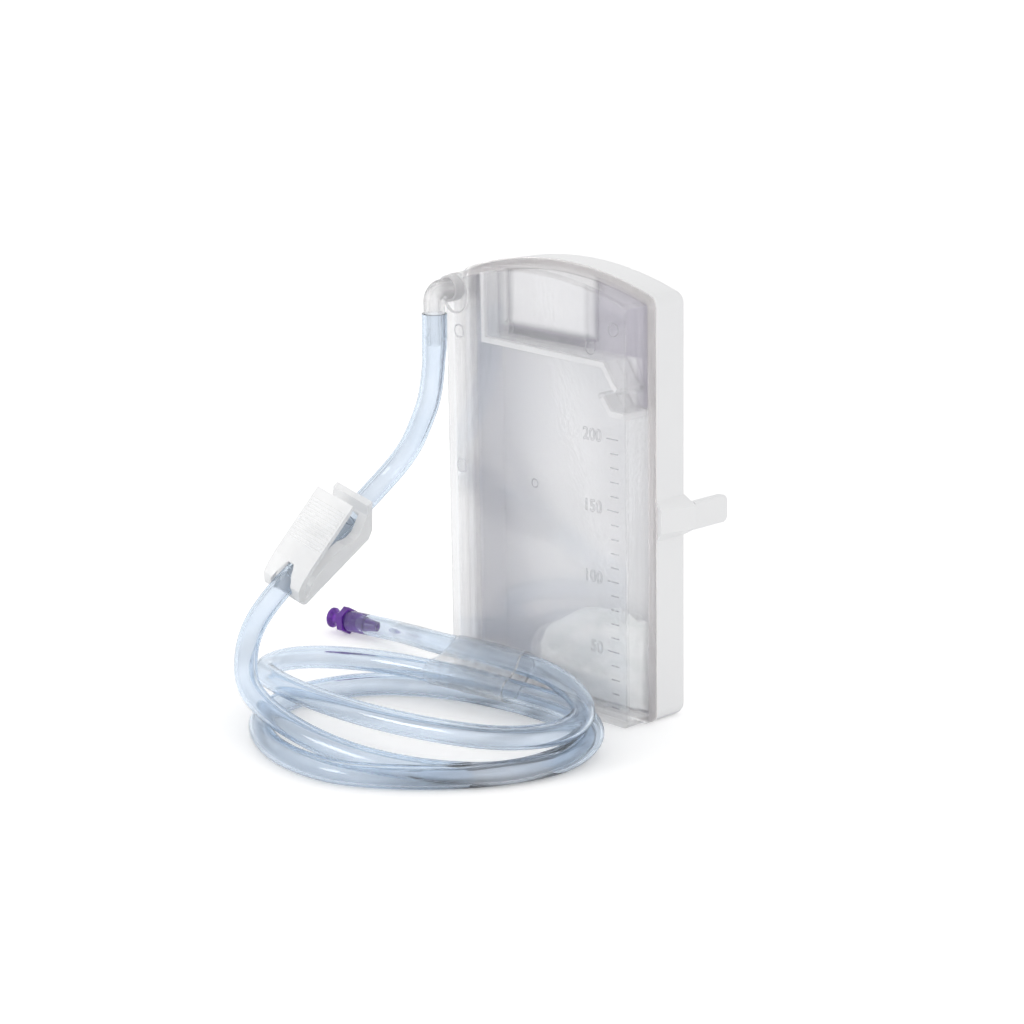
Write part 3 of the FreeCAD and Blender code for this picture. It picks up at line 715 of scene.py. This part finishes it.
def scale_digits(relief):
    for k, words in enumerate(("50", "100", "150", "200")):
        text = bpy.data.curves.new("digits_" + words, "FONT")
        text.body = words
        text.size = DIGIT_SIZE
        text.fill_mode = "NONE"
        text.bevel_depth = DIGIT_LINE_R
        text.bevel_resolution = 2
        text.align_x = "RIGHT"
        text.align_y = "CENTER"
        text.materials.append(relief)
        o = bpy.data.objects.new("digits_" + words, text)
        o.location = (DIGIT_RIGHT_X, FRONT_Y, Z_50_ML + k * Z_PER_50_ML)
        o.rotation_euler = (math.radians(90), 0, 0)
        bpy.context.scene.collection.objects.link(o)
        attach(o, "base")


def scale_marks(relief):
    """Fine edges of the scale's raised marks, longer at every 50 ml."""
    mesh = bmesh.new()
    for k in range(1, MARKS + 1):
        z = Z_50_ML + (k - MARKS_PER_50_ML) * Z_PER_50_ML / MARKS_PER_50_ML
        length = SHORT_MARK if k % MARKS_PER_50_ML else LONG_MARK
        place = Matrix.Translation((MARK_RIGHT_X - length / 2, FRONT_Y - MARK_T / 2, z))
        bmesh.ops.create_cube(mesh, size=1.0, matrix=place @ Matrix.Diagonal((length, MARK_T, MARK_H, 1)))
    marks = finished("scale_marks", mesh, relief, smooth=False)
    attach(marks, "base")


def moulding_marks(relief):
    marks = [ring_mark(f"pin_mark_{i + 1}", *at, PIN_MARK_R, relief) for i, at in enumerate(PIN_MARKS)]
    marks.append(ring_mark("gate_mark", *GATE_MARK, GATE_MARK_R, relief))
    for mark in marks:
        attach(mark, "base")


# Light and camera


def seen_directly(m, level, dim, bright, space):
    """A level for light, and one for what is seen: even for the camera, soft panels in clear and glossy."""
    path = add(m, "ShaderNodeLightPath")
    place = add(m, "ShaderNodeTexCoord")
    parts = add(m, "ShaderNodeSeparateXYZ")
    turn = add(m, "ShaderNodeMath", operation="ARCTAN2")
    lobes = add(m, "ShaderNodeMath", operation="MULTIPLY")
    lobes.inputs[1].default_value = PANELS
    wave = add(m, "ShaderNodeMath", operation="COSINE")
    panels = add(m, "ShaderNodeMapRange")
    panels.inputs["From Min"].default_value = -1.0
    panels.inputs["From Max"].default_value = 0.1
    even = add(m, "ShaderNodeMath", operation="MAXIMUM")
    seen = add(m, "ShaderNodeMapRange")
    seen.inputs["To Min"].default_value = dim
    seen.inputs["To Max"].default_value = bright
    either = add(m, "ShaderNodeMath", operation="MAXIMUM")
    any_way = add(m, "ShaderNodeMath", operation="MAXIMUM")
    strength = add(m, "ShaderNodeMix", data_type="FLOAT")
    strength.inputs[2].default_value = level
    link(m, place, space, parts, "Vector")
    link(m, parts, "Y", turn, 0)
    link(m, parts, "X", turn, 1)
    link(m, turn, "Value", lobes, 0)
    link(m, lobes, "Value", wave, 0)
    link(m, wave, "Value", panels, "Value")
    link(m, panels, "Result", even, 0)
    link(m, path, "Is Camera Ray", even, 1)
    link(m, even, "Value", seen, "Value")
    link(m, path, "Is Glossy Ray", either, 0)
    link(m, path, "Is Transmission Ray", either, 1)
    link(m, either, "Value", any_way, 0)
    link(m, path, "Is Camera Ray", any_way, 1)
    link(m, any_way, "Value", strength, "Factor")
    link(m, seen, "Result", strength, 3)
    return strength


def stage():
    surface = material("floor", Base_Color=(0.93, 0.93, 0.93, 1), Roughness=0.9, Emission_Color=WHITE)
    glow = seen_directly(surface, 0.0, 0.12, 0.31, "Object")
    link(surface, glow, 0, surface.node_tree.nodes["Principled BSDF"], "Emission Strength")
    bpy.ops.mesh.primitive_plane_add(size=FLOOR_SIZE)
    floor = bpy.context.object
    floor.name = "floor"
    floor.data.materials.append(surface)
    world = bpy.data.worlds.new("World")
    bpy.context.scene.world = world
    world.use_nodes = True
    background = world.node_tree.nodes["Background"]
    background.inputs["Color"].default_value = WHITE
    link(world, seen_directly(world, 0.8, 0.6, 1.0, "Generated"), 0, background, "Strength")


def area(name, place, aim, size, watts):
    light = bpy.data.lights.new(name, "AREA")
    light.shape = "DISK"
    light.size = size
    light.energy = watts
    o = bpy.data.objects.new(name, light)
    o.location = place
    o.rotation_euler = (Vector(aim) - Vector(place)).to_track_quat("-Z", "Y").to_euler()
    bpy.context.scene.collection.objects.link(o)


def photo_camera():
    turn, tilt, roll = CAMERA_TURN, CAMERA_TILT, CAMERA_ROLL
    lens = bpy.data.cameras.new("camera")
    lens.sensor_width = SENSOR_MM
    lens.lens = FOCAL_PX / PHOTO_PX * SENSOR_MM
    lens.clip_start = 0.05
    camera = bpy.data.objects.new("camera", lens)
    back = Vector((math.sin(turn) * math.cos(tilt), -math.cos(turn) * math.cos(tilt), math.sin(tilt)))
    look = (-back).to_track_quat("-Z", "Y").to_matrix()
    right, up = look.col[0].copy(), look.col[1].copy()
    rolled_right = right * math.cos(roll) + up * math.sin(roll)
    rolled_up = up * math.cos(roll) - right * math.sin(roll)
    axes = Matrix((rolled_right, rolled_up, back)).transposed()
    camera.matrix_world = Matrix.Translation(CAMERA_TARGET + back * CAMERA_DISTANCE) @ axes.to_4x4()
    bpy.context.scene.collection.objects.link(camera)
    bpy.context.scene.camera = camera


photo_camera()
bpy.context.scene.view_settings.view_transform = "Standard"
long_path = make_tube()
dress_frame()
film_band(long_path)
sachet()
rib_cores()
port_edges()
relief = relief_plastic()
scale_digits(relief)
scale_marks(relief)
moulding_marks(relief)
stage()
area("key", (-0.35, -1.35, 0.55), (0, -0.05, 0.06), 0.5, 3.8)
area("fill", (1.1, -0.6, 0.35), (0, 0, 0.08), 0.8, 0.9)
